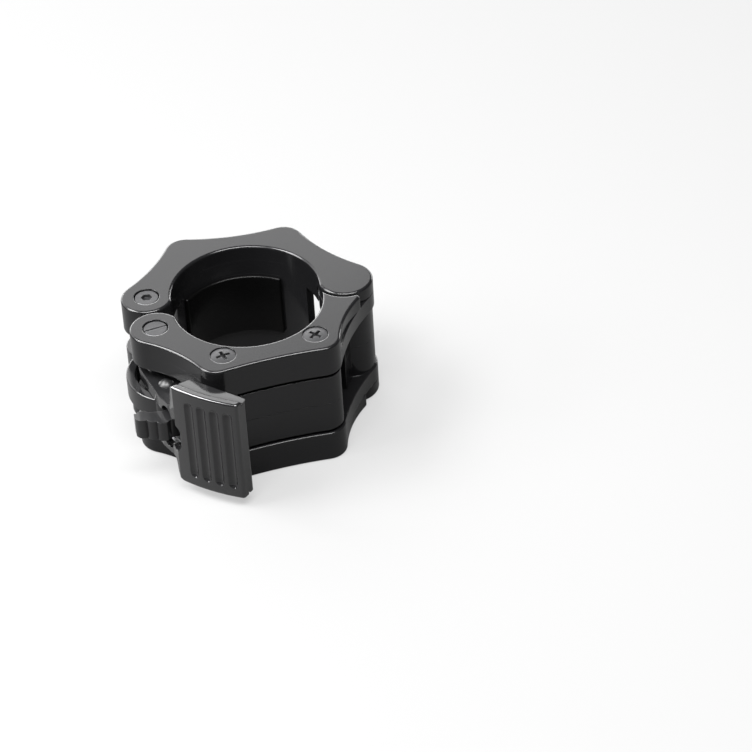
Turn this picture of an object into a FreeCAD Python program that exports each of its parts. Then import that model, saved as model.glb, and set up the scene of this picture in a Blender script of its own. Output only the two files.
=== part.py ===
import FreeCAD, Part
import math
import os
import Sketcher

# Lever-locking collar for a 50 mm bar sleeve, in millimetres.
# The origin is on the axis of the grip, half way along it. +Z is the bar's axis.
# X points from the lever side to the hinge side, and Y from the small jaw to the main jaw.

# Driving sizes: name, value, what it measures
SIZES = [
    ("collar_width", 50.0, "along the bar, over the outer faces of the plates"),
    ("plate_thickness", 12.0, "each of the four plates"),
    ("plate_edge_round", 0.9, "rounding along the outer faces of the plates"),
    ("inner_edge_round", 0.5, "rounding along the inner faces of the plates"),
    ("grip_radius", 25.1, "inner radius of both grip pads"),
    ("main_pad_thickness", 1.55, "main grip pad"),
    ("small_bore_reach", 1.7, "small plates' bore radius beyond the grip radius"),
    ("small_bore_x", 0.88, "centre of the small plates' bore"),
    ("small_bore_y", -5.91, "centre of the small plates' bore"),
    ("end_play", 0.2, "beside every part that turns between two plates"),
    ("running_gap", 0.05, "around a pin that turns"),
    ("seat_gap", 0.2, "around a part that lies loose in a recess"),
    ("hinge_angle", 6.34, "hinge of the two jaws"),
    ("hinge_reach", 11.122, "hinge of the two jaws"),
    ("hinge_nose_radius", 9.9, "main plates around the hinge"),
    ("hinge_barrel_radius", 9.2, "small jaw around the hinge, between the main plates"),
    ("hinge_socket_radius", 10.9, "hollow end of the small plates around the hinge"),
    ("hinge_nose_thickness", 5.2, "main plates over the small jaw's knuckles"),
    ("knuckle_radius", 9.9, "small plates around the hinge, under the main plates' noses"),
    ("knuckle_gap", 0.7, "beside the knuckles in the main plates"),
    ("knuckle_side_hollow", 80.0, "radius of the outline from corner to knuckle"),
    ("hinge_pin_radius", 3.0, "steel hinge pin"),
    ("hinge_cover", 2.2, "plastic over the upper end of the hinge pin"),
    ("link_pivot_angle", -179.417, "pivot of the link on the main jaw"),
    ("link_pivot_reach", 10.262, "pivot of the link on the main jaw"),
    ("lever_pivot_angle", -149.216, "pivot of the lever on the small jaw"),
    ("lever_pivot_reach", 12.043, "pivot of the lever on the small jaw"),
    ("nose_radius", 9.3, "plates around the link and lever pivots"),
    ("upper_corner_angle", 129.174, "main jaw corner beside the link"),
    ("upper_corner_reach", 9.728, "main jaw corner beside the link"),
    ("upper_corner_radius", 7.2, "plate around that corner"),
    ("far_corner_angle", 66.003, "main jaw corner beside the hinge"),
    ("far_corner_reach", 8.833, "main jaw corner beside the hinge"),
    ("far_corner_radius", 7.4, "plate around that corner"),
    ("link_side_hollow", 66.0, "radius of the outline from link pivot to corner"),
    ("top_hollow", 77.0, "radius of the outline from corner to corner"),
    ("hinge_side_hollow", 63.0, "radius of the outline from corner to hinge"),
    ("barrel_radius", 6.6, "posts between the main plates at the corners"),
    ("main_wall_thickness", 3.0, "wall between the main plates, behind the pad"),
    ("low_corner_angle", -104.374, "small jaw corner beside the lever"),
    ("low_corner_reach", 15.986, "small jaw corner beside the lever"),
    ("low_corner_radius", 7.1, "plate around that corner"),
    ("side_corner_angle", -49.274, "small jaw corner beside the hinge"),
    ("side_corner_reach", 14.75, "small jaw corner beside the hinge"),
    ("side_corner_radius", 7.3, "plate around that corner"),
    ("lever_side_hollow", 50.0, "radius of the outline from lever pivot to corner"),
    ("front_hollow", 160.0, "radius of the outline from corner to corner"),
    ("socket_side_hollow", 46.0, "radius of the outline from corner to hinge"),
    ("socket_lip_radius", 1.3, "outer tip at the hinge"),
    ("core_inset", 0.6, "core of the small jaw behind its plates"),
    ("wall_groove_height", 1.3, "groove between the front wall and each plate"),
    ("wall_groove_depth", 1.3, "groove between the front wall and each plate"),
    ("core_end_x", -5.0, "left end of the small jaw's front wall"),
    ("small_wall_thickness", 3.6, "wall between the small plates, behind the pad"),
    ("screw_boss_radius", 5.6, "boss around each jaw screw"),
    ("low_screw_angle", -102.077, "jaw screw beside the lever"),
    ("low_screw_reach", 12.993, "jaw screw beside the lever"),
    ("side_screw_angle", -49.067, "jaw screw beside the hinge"),
    ("side_screw_reach", 12.386, "jaw screw beside the hinge"),
    ("screw_head_radius", 4.4, "jaw screws"),
    ("screw_head_height", 2.6, "jaw screws"),
    ("screw_dome", 0.25, "height of the crowned top of a jaw screw"),
    ("screw_sink", 0.3, "jaw screw heads below the face"),
    ("screw_shank_radius", 2.0, "jaw screws"),
    ("screw_cover", 8.7, "plastic under the tips of the jaw screws"),
    ("screw_clear_radius", 2.3, "hole in the upper half"),
    ("cross_width", 1.3, "arms of the cross recess"),
    ("cross_length", 5.2, "arms of the cross recess"),
    ("cross_depth", 1.8, "depth of the cross recess"),
    ("pad_height", 25.0, "main grip pad along the bar"),
    ("small_pad_height", 21.0, "small grip pad along the bar"),
    ("pad_lug_height", 8.0, "lug that holds a pad in its wall"),
    ("pad_lug_width", 6.0, "lug that holds a pad in its wall"),
    ("pad_lug_depth", 2.2, "how far the lug enters the wall"),
    ("pivot_pin_radius", 2.5, "posts of the link and lever pivots"),
    ("pivot_screw_radius", 1.4, "screws inside those posts"),
    ("pivot_screw_length", 14.0, "screws inside those posts"),
    ("pivot_head_radius", 4.3, "flat heads of those posts and screws"),
    ("pivot_head_height", 2.2, "flat heads of those posts and screws"),
    ("pivot_head_sink", 0.25, "flat heads below the face"),
    ("pivot_head_gap", 0.35, "ring around each flat head"),
    ("head_edge_round", 0.35, "edge of the flat heads"),
    ("socket_width", 3.6, "hexagon recess over its flats"),
    ("socket_depth", 1.3, "hexagon recess"),
    ("slot_width", 0.6, "screwdriver slot of the lever screw"),
    ("slot_depth", 0.4, "screwdriver slot of the lever screw"),
    ("open_pivot_gap", 2.0, "clearance of the link around its pivot post"),
    ("link_hub_radius", 7.2, "barrel of the link"),
    ("link_back_radius", 9.2, "strap of the link around its pivot"),
    ("strap_width", 8.0, "strap of the link, along the bar"),
    ("strap_thickness", 3.4, "strap of the link"),
    ("strap_bow_radius", 18.2, "outer curve of the strap"),
    ("strap_bow_right", 5.81, "centre of the strap's curve"),
    ("strap_bow_up", 2.01, "centre of the strap's curve"),
    ("link_eye_radius", 5.0, "lower end of the link"),
    ("link_edge_round", 0.5, "edges of the strap"),
    ("toggle_right", 2.64, "pin between link and lever"),
    ("toggle_up", -11.91, "pin between link and lever"),
    ("toggle_pin_radius", 2.0, "pin between link and lever"),
    ("toggle_head_radius", 2.7, "its domed head"),
    ("toggle_head_height", 1.6, "its domed head"),
    ("lever_hub_radius", 7.4, "lever around its pivot"),
    ("upper_arm_thickness", 4.8, "upper arm of the lever"),
    ("upper_arm_setback", 3.9, "outer face of the upper arm, below the plates' inner face"),
    ("lower_arm_thickness", 4.7, "lower arm of the lever"),
    ("hub_boss_radius", 5.2, "spacer boss of the lever, on the upper arm"),
    ("arm_outer_bend_right", 0.11, "bend of the arms' outer edge"),
    ("arm_outer_bend_up", -19.19, "bend of the arms' outer edge"),
    ("arm_outer_end_right", 3.91, "end of the arms' outer edge"),
    ("arm_outer_end_up", -24.99, "end of the arms' outer edge"),
    ("arm_inner_right", 8.01, "arms' inner edge beside the toggle pin"),
    ("arm_inner_up", -11.99, "arms' inner edge beside the toggle pin"),
    ("paddle_root_right", 5.61, "upper end of the thumb face"),
    ("paddle_root_up", -29.59, "upper end of the thumb face"),
    ("paddle_crown_right", 15.81, "middle of the thumb face"),
    ("paddle_crown_up", -36.69, "middle of the thumb face"),
    ("paddle_tip_right", 28.21, "lower end of the thumb face"),
    ("paddle_tip_up", -42.29, "lower end of the thumb face"),
    ("paddle_heel_right", 31.71, "back of the lower end"),
    ("paddle_heel_up", -37.69, "back of the lower end"),
    ("paddle_back_right", 19.11, "back of the side walls, under the jaw's corner"),
    ("paddle_back_up", -29.19, "back of the side walls, under the jaw's corner"),
    ("paddle_peak_right", 14.71, "deepest point of the side walls"),
    ("paddle_peak_up", -26.29, "deepest point of the side walls"),
    ("paddle_inset", 4.0, "ends of the thumb face inside the outer faces of the plates"),
    ("paddle_skin", 2.4, "thickness of the thumb face"),
    ("side_wall_inset", 0.9, "side walls behind the edge of the thumb face"),
    ("side_wall_thickness", 2.8, "side walls"),
    ("edge_line_width", 0.8, "line between thumb face and side wall"),
    ("edge_line_depth", 1.6, "line between thumb face and side wall"),
    ("upper_shoulder_foot", 24.8, "where that shoulder starts to rise, from the lever's pivot along the arms"),
    ("upper_shoulder_wall", 27.0, "full width above the upper arm, from the lever's pivot along the arms"),
    ("lower_shoulder_foot", 26.8, "where the lower shoulder starts to rise, along the arms"),
    ("lower_shoulder_wall", 27.0, "full width below the lower arm, along the arms"),
    ("upper_shoulder_fillet", 2.0, "hollow between upper arm and shoulder"),
    ("upper_shoulder_round", 2.0, "outer corner of the upper shoulder"),
    ("lower_shoulder_fillet", 2.3, "hollow between lower arm and shoulder"),
    ("lower_shoulder_round", 5.6, "outer corner of the lower shoulder"),
    ("slot_end", 30.6, "end of the gap between the arms, along them"),
    ("slot_round", 3.6, "corners of that end"),
    ("groove_width", 3.8, "grooves of the thumb face"),
    ("groove_depth", 0.9, "grooves of the thumb face"),
    ("groove_inset", 4.1, "ends of the grooves inside the ends of the thumb face"),
    ("notch_radius", 2.9, "half-round notch in each arm's inner edge"),
    ("notch_along", 21.2, "its place, from the lever's pivot along the arms"),
    ("notch_floor", 6.0, "its floor, from the lever's pivot outward"),
    ("plate_clear_right", 3.41, "where the shoulders start to pass outside the plates"),
    ("plate_clear_up", -12.49, "where the shoulders start to pass outside the plates"),
    ("plate_inside_right", 19.91, "inner end of that clearance"),
    ("plate_inside_up", -10.99, "inner end of that clearance"),
    ("hollow_reach", 14.0, "hollow of the paddle, from the skin backwards"),
    ("inset_reach", 24.0, "inset of the side walls, from the skin backwards"),
    ("face_edge_round", 0.85, "edges of the thumb face along its ends"),
    ("tip_edge_round", 1.3, "lower end of the thumb face, along the bar"),
    ("catch_pivot_right", 6.31, "pin of the catch"),
    ("catch_pivot_up", -21.99, "pin of the catch"),
    ("catch_pin_radius", 1.3, "pin of the catch"),
    ("catch_hub_radius", 3.3, "catch around its pin"),
    ("catch_width", 8.0, "catch, along the bar"),
    ("tab_top_right", -9.19, "outer end of the thumb tab, upper corner"),
    ("tab_top_up", -21.69, "outer end of the thumb tab, upper corner"),
    ("tab_low_right", -8.59, "outer end of the thumb tab, lower corner"),
    ("tab_low_up", -24.49, "outer end of the thumb tab, lower corner"),
    ("tab_root_right", 0.91, "where the ribs of the tab end"),
    ("tab_root_up", -27.09, "where the ribs of the tab end"),
    ("tab_elbow_right", 0.91, "upper edge of the tab where it meets the hub"),
    ("tab_elbow_up", -21.04, "upper edge of the tab where it meets the hub"),
    ("tab_rib_height", 0.8, "ribs of the tab"),
    ("tab_rib_width", 3.9, "ribs of the tab"),
    ("nose_tip_right", 4.58, "short nose of the catch, towards the link"),
    ("nose_tip_up", -18.27, "short nose of the catch, towards the link"),
    ("nose_width", 2.6, "short nose of the catch"),
    ("spring_wire_radius", 0.3, "torsion spring of the catch"),
    ("spring_coil_radius", 2.3, "torsion spring of the catch"),
    ("spring_pitch", 1.05, "torsion spring of the catch"),
    ("spring_base", 7.65, "lowest turn of the spring, below the middle"),
    ("spring_leg", 6.0, "straight legs of the spring"),
    ("overrun", 4.0, "how far cutting shapes pass what they cut"),
]

# Sizes that follow from those above: name, formula, what it measures
FOLLOWING = [
    ("main_bore_radius", "grip_radius + main_pad_thickness", "main plates, about the axis"),
    ("small_bore_radius", "grip_radius + small_bore_reach", "small plates, about their own centre"),
    ("upper_arm_outer", "collar_width / 2 - plate_thickness - upper_arm_setback", "above the middle"),
    ("upper_arm_inner", "upper_arm_outer - upper_arm_thickness", "above the middle"),
    ("lower_arm_inner", "collar_width / 2 - plate_thickness - end_play - lower_arm_thickness", "below the middle"),
    ("paddle_width", "collar_width - 2 * paddle_inset", "thumb face, along the bar"),
    ("groove_length", "paddle_width - 2 * groove_inset", "grooves of the thumb face, along the bar"),
    ("hinge_pin_depth", "collar_width - hinge_cover", "from the lower face up"),
    ("screw_length", "collar_width - screw_sink - screw_head_height - screw_cover", "jaw screws, under the head"),
]

# Places given by an angle about the axis and a distance beyond the grip radius
PLACES_ABOUT_AXIS = [
    "hinge", "link_pivot", "lever_pivot", "upper_corner", "far_corner",
    "low_corner", "side_corner", "low_screw", "side_screw",
]

# Places given from the lever's pivot, to the right and up in the plan
PLACES_FROM_LEVER_PIVOT = [
    "strap_bow", "toggle", "arm_outer_bend", "arm_outer_end", "arm_inner", "paddle_root", "paddle_crown",
    "paddle_tip", "paddle_heel", "paddle_back", "paddle_peak", "plate_clear", "plate_inside",
    "catch_pivot", "tab_top", "tab_low", "tab_root", "tab_elbow", "nose_tip",
]

# Angles in degrees from +X, about the centre of what they belong to
MAIN_WALL_ANGLES = (36.0, 152.0)
MAIN_PAD_ANGLES = (62.0, 150.0)
MAIN_LUG_ANGLES = (75.0, 130.0)
SMALL_WALL_ANGLES = (-128.0, -8.0)
SMALL_PAD_ANGLES = (-126.0, -34.0)
SMALL_LUG_ANGLES = (-112.0, -62.0)
SOCKET_LIP_ANGLE = -73.0
CORE_CORNER_ANGLE = 35.0
CORE_WALL_ANGLE = -36.0
WEB_FOOT_ANGLE = 4.0
WEB_OUTER_ANGLE = -88.0
WEB_INNER_ANGLE = -168.0
LOW_CROSS_ANGLE = 24.0
SIDE_CROSS_ANGLE = 50.0
LEVER_SLOT_ANGLE = 20.0
ARM_ANGLE = -63.05
QUARTER_ANGLE = 90.0
FULL_ANGLE = 360.0

# Shares of the thumb face from its upper end, shares of heights, and counts
GROOVE_SHARES = (0.26, 0.457, 0.654, 0.851)
HOLLOW_SHARES = (0.3, 0.93)
RIB_SHARES = (0.21, 0.62, 0.98)
CROWN_SHARE = 0.75
SPRING_TURNS = 3

SMOOTH = 1e-4
AXIS = FreeCAD.Vector()
UP = FreeCAD.Vector(0, 0, 1)

doc = FreeCAD.newDocument("BarCollar")
sheet = doc.addObject("Spreadsheet::Sheet", "Sizes")
table = [(name, str(value), meaning) for name, value, meaning in SIZES]
for name in PLACES_ABOUT_AXIS:
    for axis, wave in (("x", "cos"), ("y", "sin")):
        formula = "(grip_radius + %s_reach) * %s(%s_angle * 1deg)" % (name, wave, name)
        table.append(("%s_%s" % (name, axis), "=" + formula, "from the axis"))
for name in PLACES_FROM_LEVER_PIVOT:
    for axis, way in (("x", "right"), ("y", "up")):
        formula = "lever_pivot_%s + %s_%s" % (axis, name, way)
        table.append(("%s_%s" % (name, axis), "=" + formula, "from the axis"))
table += [(name, "=" + formula, meaning) for name, formula, meaning in FOLLOWING]
for row, (name, value, meaning) in enumerate(table, start=1):
    sheet.set("A%d" % row, name)
    sheet.set("C%d" % row, meaning)
    sheet.setAlias("B%d" % row, name)
for row, (name, value, meaning) in enumerate(table, start=1):
    sheet.set("B%d" % row, value)
doc.recompute()


def size(name):
    """Value of one named size in the sheet."""
    return float(sheet.get(name))


def place(name):
    """Point of the plan whose two coordinates are in the sheet."""
    return FreeCAD.Vector(size(name + "_x"), size(name + "_y"), 0)


def toward(angle, length=1.0):
    """Vector of the plan at an angle in degrees from +X."""
    turn = math.radians(angle)
    return FreeCAD.Vector(length * math.cos(turn), length * math.sin(turn), 0)


def heading(vector):
    """Angle of a vector of the plan, in radians."""
    return math.atan2(vector.y, vector.x)


def crossing(centre_a, radius_a, centre_b, radius_b, side):
    """Where two circles meet: on the left of the line from a to b for side 1, on the right for -1."""
    span = centre_b - centre_a
    along = (span.Length ** 2 + radius_a ** 2 - radius_b ** 2) / (2 * span.Length)
    across = math.sqrt(radius_a ** 2 - along ** 2)
    unit = FreeCAD.Vector(span).normalize()
    return centre_a + unit * along + FreeCAD.Vector(-unit.y, unit.x, 0) * side * across


# An outline is a closed loop of pieces. A line is (start, end). An arc is
# (centre, radius, start, end, counter-clockwise), with the sheet's names of its centre and radius after it.

def arc_shape(centre, radius, start, end, ccw):
    """Arc of a circle between two points of it."""
    first, last = heading(start - centre), heading(end - centre)
    if not ccw:
        first, last = last, first
    if last <= first:
        last += 2 * math.pi
    return Part.ArcOfCircle(Part.Circle(centre, UP, radius), first, last)


def lobe_chain(lobes, hollows, start, end):
    """Round lobes in clockwise order, joined outside by hollow arcs that are tangent to both neighbours."""
    loop = []
    for index, (centre, radius, centre_name, radius_name) in enumerate(lobes):
        if index == len(hollows):
            loop.append((centre, radius, start, end, False, centre_name, radius_name))
            break
        hollow = size(hollows[index])
        next_centre, next_radius = lobes[index + 1][:2]
        middle = crossing(centre, radius + hollow, next_centre, next_radius + hollow, 1)
        leave = centre + (middle - centre).normalize() * radius
        arrive = next_centre + (middle - next_centre).normalize() * next_radius
        loop.append((centre, radius, start, leave, False, centre_name, radius_name))
        loop.append((middle, hollow, leave, arrive, True, None, hollows[index]))
        start = arrive
    return loop


def lobe(centre_name, radius_name):
    """Lobe around a named place."""
    return place(centre_name), size(radius_name), centre_name, radius_name


def main_outline():
    """Main jaw seen from above: link pivot, two corners, hinge, and the bore."""
    bore = size("main_bore_radius")
    lobes = [
        lobe("link_pivot", "nose_radius"),
        lobe("upper_corner", "upper_corner_radius"),
        lobe("far_corner", "far_corner_radius"),
        lobe("hinge", "hinge_nose_radius"),
    ]
    bore_end = crossing(AXIS, bore, lobes[0][0], lobes[0][1], 1)
    bore_start = crossing(AXIS, bore, lobes[-1][0], lobes[-1][1], -1)
    hollows = ["link_side_hollow", "top_hollow", "hinge_side_hollow"]
    loop = lobe_chain(lobes, hollows, bore_end, bore_start)
    loop.append((AXIS, bore, bore_start, bore_end, True, "axis", "main_bore_radius"))
    return loop


def small_outline():
    """Small jaw seen from above: hinge socket with its lip, two corners, lever pivot, and the bore."""
    centre, bore = place("small_bore"), size("small_bore_radius")
    hinge, socket = place("hinge"), size("hinge_socket_radius")
    lip_radius = size("socket_lip_radius")
    lip = hinge + toward(SOCKET_LIP_ANGLE, socket + lip_radius)
    lobes = [
        (lip, lip_radius, None, "socket_lip_radius"),
        lobe("side_corner", "side_corner_radius"),
        lobe("low_corner", "low_corner_radius"),
        lobe("lever_pivot", "nose_radius"),
    ]
    bore_start = crossing(centre, bore, lobes[-1][0], lobes[-1][1], -1)
    bore_end = crossing(centre, bore, hinge, socket, -1)
    lip_start = hinge + toward(SOCKET_LIP_ANGLE, socket)
    hollows = ["socket_side_hollow", "front_hollow", "lever_side_hollow"]
    loop = [(hinge, socket, bore_end, lip_start, True, "hinge", "hinge_socket_radius")]
    loop += lobe_chain(lobes, hollows, lip_start, bore_start)
    loop.append((centre, bore, bore_start, bore_end, True, "small_bore", "small_bore_radius"))
    return loop


def knuckle_outline():
    """Small jaw between the noses of the main plates: as above, but with a full knuckle around the hinge."""
    centre, bore = place("small_bore"), size("small_bore_radius")
    lobes = [
        lobe("hinge", "knuckle_radius"),
        lobe("side_corner", "side_corner_radius"),
        lobe("low_corner", "low_corner_radius"),
        lobe("lever_pivot", "nose_radius"),
    ]
    bore_start = crossing(centre, bore, lobes[-1][0], lobes[-1][1], -1)
    bore_end = crossing(centre, bore, lobes[0][0], lobes[0][1], -1)
    hollows = ["knuckle_side_hollow", "front_hollow", "lever_side_hollow"]
    loop = lobe_chain(lobes, hollows, bore_end, bore_start)
    loop.append((centre, bore, bore_start, bore_end, True, "small_bore", "small_bore_radius"))
    return loop


def is_smooth(piece, after):
    """Whether two arcs meet without a corner."""
    joint = piece[3]
    first, second = joint - piece[0], joint - after[0]
    return abs(first.cross(second).Length) < SMOOTH * first.Length * second.Length


def add_loop(sketch, loop, driven=False):
    """Closed loop in a sketch. A driven loop of arcs follows the sheet by its constraints."""
    numbers = []
    for piece in loop:
        shape = Part.LineSegment(*piece) if len(piece) == 2 else arc_shape(*piece[:5])
        numbers.append(sketch.addGeometry(shape, False))
    if not driven:
        return
    for index, piece in enumerate(loop):
        after = (index + 1) % len(loop)
        leave = 2 if piece[4] else 1
        arrive = 1 if loop[after][4] else 2
        kind = "Tangent" if is_smooth(piece, loop[after]) else "Coincident"
        sketch.addConstraint(Sketcher.Constraint(kind, numbers[index], leave, numbers[after], arrive))
    for number, piece in zip(numbers, loop):
        centre, radius, centre_name, radius_name = piece[0], piece[1], piece[5], piece[6]
        bind(sketch, "Radius", number, 0, radius, "Sizes." + radius_name)
        if centre_name == "axis":
            sketch.addConstraint(Sketcher.Constraint("Coincident", number, 3, -1, 1))
        elif centre_name:
            bind(sketch, "DistanceX", number, 3, centre.x, "Sizes.%s_x" % centre_name)
            bind(sketch, "DistanceY", number, 3, centre.y, "Sizes.%s_y" % centre_name)


def add_circle(sketch, centre_name, radius_name, extra=None):
    """Circle around a named place. Its radius follows the sheet, with a named allowance added."""
    middle = place(centre_name)
    radius = size(radius_name) + (size(extra) if extra else 0)
    number = sketch.addGeometry(Part.Circle(middle, UP, radius), False)
    allowance = " + Sizes." + extra if extra else ""
    bind(sketch, "Radius", number, 0, radius, "Sizes." + radius_name + allowance)
    bind(sketch, "DistanceX", number, 3, middle.x, "Sizes.%s_x" % centre_name)
    bind(sketch, "DistanceY", number, 3, middle.y, "Sizes.%s_y" % centre_name)


def polygon(points):
    """Closed loop of straight edges."""
    return list(zip(points, points[1:] + points[:1]))


def sector(centre, inner, outer, span):
    """Part of a ring between two radii and two angles."""
    low, high = toward(span[0]), toward(span[1])
    return [
        (centre, inner, centre + low * inner, centre + high * inner, True),
        (centre + high * inner, centre + high * outer),
        (centre, outer, centre + high * outer, centre + low * outer, False),
        (centre + low * outer, centre + low * inner),
    ]


def lug_sectors(centre, inner, angles):
    """Lugs on the back of a pad, as sectors around the middle of its back."""
    half = math.degrees(size("pad_lug_width") / inner) / 2
    outer = inner + size("pad_lug_depth")
    return [sector(centre, inner, outer, (angle - half, angle + half)) for angle in angles]


# Steps that build the bodies

def new_body(name):
    """Empty body whose label names its node."""
    body = doc.addObject("PartDesign::Body", name)
    body.Label = name
    return body


def new_sketch(body, name, height=None, role="XY_Plane"):
    """Sketch on one of the body's own planes, moved along its normal by an expression."""
    sketch = body.newObject("Sketcher::SketchObject", name)
    plane = [feature for feature in body.Origin.OriginFeatures if feature.Role == role][0]
    sketch.AttachmentSupport = [(plane, "")]
    sketch.MapMode = "FlatFace"
    if height is not None:
        sketch.setExpression("AttachmentOffset.Base.z", height)
    return sketch


def bind(sketch, kind, number, point, value, expression):
    """Dimension of one sketch element, bound to the sheet. A distance is measured from the origin."""
    if kind == "Radius":
        constraint = Sketcher.Constraint(kind, number, value)
    else:
        constraint = Sketcher.Constraint(kind, -1, 1, number, point, value)
    sketch.setExpression("Constraints[%d]" % sketch.addConstraint(constraint), expression)


def pad(body, name, sketch, length, both_ways=False, down=False):
    """Pad whose length is an expression."""
    feature = body.newObject("PartDesign::Pad", name)
    feature.Profile = sketch
    feature.setExpression("Length", length)
    feature.Midplane = both_ways
    feature.Reversed = down
    return feature


def pocket(body, name, sketch, length, both_ways=False, up=False):
    """Pocket whose depth is an expression. It cuts down from its sketch unless up is set."""
    feature = body.newObject("PartDesign::Pocket", name)
    feature.Profile = sketch
    feature.setExpression("Length", length)
    feature.Midplane = both_ways
    feature.Reversed = up
    return feature


def round_edges(body, name, radius_name, wanted):
    """Fillet on the edges of the body's tip that a test accepts."""
    doc.recompute()
    tip = body.Tip
    names = ["Edge%d" % index for index, edge in enumerate(tip.Shape.Edges, start=1) if wanted(edge)]
    fillet = body.newObject("PartDesign::Fillet", name)
    fillet.Base = (tip, names)
    fillet.setExpression("Radius", "Sizes." + radius_name)


def flat_at(*heights):
    """Test for edges that lie flat at one of the heights."""
    def wanted(edge):
        box = edge.BoundBox
        return any(abs(box.ZMin - height) < SMOOTH and abs(box.ZMax - height) < SMOOTH for height in heights)
    return wanted


def upright_at(*names):
    """Test for edges along the bar that stand at one of the named places."""
    spots = [place(name) for name in names]

    def wanted(edge):
        middle = edge.BoundBox.Center
        middle.z = 0
        return edge.BoundBox.ZLength > SMOOTH and any((middle - spot).Length < SMOOTH for spot in spots)
    return wanted


def has_radius(edge, radius):
    """Whether an edge is an arc of that radius."""
    return isinstance(edge.Curve, Part.Circle) and abs(edge.Curve.Radius - radius) < SMOOTH


HALF = "Sizes.collar_width / 2"
GAP = "(Sizes.collar_width / 2 - Sizes.plate_thickness)"


def half_width():
    """Height of the outer faces above the middle."""
    return size("collar_width") / 2


def half_gap():
    """Height of the plates' inner faces above the middle."""
    return size("collar_width") / 2 - size("plate_thickness")


def head_recess(body, name, centre_name, top):
    """Round recess that a flat pivot head sinks into."""
    sketch = new_sketch(body, name + "_sketch", HALF if top else "-" + HALF)
    add_circle(sketch, centre_name, "pivot_head_radius", "pivot_head_gap")
    pocket(body, name, sketch, "Sizes.pivot_head_height + Sizes.pivot_head_sink", up=not top)


def through_hole(body, name, centre_name, radius_name, extra=None):
    """Hole through the whole width."""
    sketch = new_sketch(body, name + "_sketch")
    add_circle(sketch, centre_name, radius_name, extra)
    pocket(body, name, sketch, "Sizes.collar_width + Sizes.overrun", both_ways=True)


# Main jaw: one moulding with two plates, a wall and two posts

def build_main_frame():
    """Two plates joined by the wall behind the pad and by a round post at each corner."""
    body = new_body("main_frame")
    outline = main_outline()
    for name, height in (("upper", GAP), ("lower", "-" + HALF)):
        sketch = new_sketch(body, "main_%s_outline" % name, height)
        add_loop(sketch, outline, driven=True)
        pad(body, "main_%s_plate" % name, sketch, "Sizes.plate_thickness")
    round_edges(body, "main_face_rounds", "plate_edge_round", flat_at(half_width(), -half_width()))
    for name, height, up in (("upper", GAP, True), ("lower", "-" + GAP, False)):
        sketch = new_sketch(body, name + "_knuckle_recess_sketch", height)
        add_circle(sketch, "hinge", "knuckle_radius", "knuckle_gap")
        pocket(body, name + "_knuckle_recess", sketch, "Sizes.plate_thickness - Sizes.hinge_nose_thickness", up=up)
    bore = size("main_bore_radius")
    sketch = new_sketch(body, "main_wall_sketch")
    add_loop(sketch, sector(AXIS, bore, bore + size("main_wall_thickness"), MAIN_WALL_ANGLES))
    pad(body, "main_wall", sketch, "2 * " + GAP, both_ways=True)
    for corner in ("upper_corner", "far_corner"):
        sketch = new_sketch(body, corner + "_post_sketch")
        add_circle(sketch, corner, "barrel_radius")
        pad(body, corner + "_post", sketch, "2 * " + GAP, both_ways=True)
    for number, lug in enumerate(lug_sectors(AXIS, bore, MAIN_LUG_ANGLES), start=1):
        sketch = new_sketch(body, "main_lug_recess_%d_sketch" % number)
        add_loop(sketch, lug)
        pocket(body, "main_lug_recess_%d" % number, sketch, "Sizes.pad_lug_height", both_ways=True)
    through_hole(body, "link_post_hole", "link_pivot", "pivot_pin_radius")
    head_recess(body, "link_screw_recess", "link_pivot", True)
    head_recess(body, "link_post_recess", "link_pivot", False)
    sketch = new_sketch(body, "hinge_hole_sketch", "-" + HALF)
    add_circle(sketch, "hinge", "hinge_pin_radius")
    pocket(body, "hinge_hole", sketch, "Sizes.hinge_pin_depth", up=True)
    return body


def build_main_pad():
    """Curved rubber pad on the main wall, held by two lugs."""
    body = new_body("main_grip_pad")
    bore = size("main_bore_radius")
    sketch = new_sketch(body, "main_pad_sketch")
    add_loop(sketch, sector(AXIS, size("grip_radius"), bore, MAIN_PAD_ANGLES))
    pad(body, "main_pad_body", sketch, "Sizes.pad_height", both_ways=True)
    for number, lug in enumerate(lug_sectors(AXIS, bore, MAIN_LUG_ANGLES), start=1):
        sketch = new_sketch(body, "main_pad_lug_%d_sketch" % number)
        add_loop(sketch, lug)
        pad(body, "main_pad_lug_%d" % number, sketch, "Sizes.pad_lug_height", both_ways=True)
    return body


def build_hinge_pin():
    """Steel pin, pressed into the main jaw from below."""
    body = new_body("hinge_pin")
    sketch = new_sketch(body, "hinge_pin_sketch", "-%s + Sizes.pivot_head_sink" % HALF)
    add_circle(sketch, "hinge", "hinge_pin_radius")
    pad(body, "hinge_pin_body", sketch, "Sizes.hinge_pin_depth - Sizes.pivot_head_sink")
    return body


# Small jaw: two halves that meet at the middle, screwed together from above

def core_loop(inset):
    """Front wall of the small jaw, behind the edge of its plates. It ends at the corner beside the hinge."""
    pieces = small_outline()
    side_lobe, front = pieces[3], pieces[4]
    front_radius, lobe_radius = front[1] + inset, side_lobe[1] - inset
    start = side_lobe[0] + toward(CORE_CORNER_ANGLE, lobe_radius)
    leave = side_lobe[0] + (side_lobe[3] - side_lobe[0]).normalize() * lobe_radius
    across = size("core_end_x") - front[0].x
    end = FreeCAD.Vector(size("core_end_x"), front[0].y - math.sqrt(front_radius ** 2 - across ** 2), 0)
    centre = place("small_bore")
    middle = size("small_bore_radius") + size("small_wall_thickness") / 2
    inner_x = size("core_end_x") - centre.x
    inner = FreeCAD.Vector(size("core_end_x"), centre.y - math.sqrt(middle ** 2 - inner_x ** 2), 0)
    inner_end = centre + toward(CORE_WALL_ANGLE, middle)
    return [
        (side_lobe[0], lobe_radius, start, leave, False),
        (front[0], front_radius, leave, end, True),
        (end, inner),
        (centre, middle, inner, inner_end, True),
        (inner_end, start),
    ]


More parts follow.
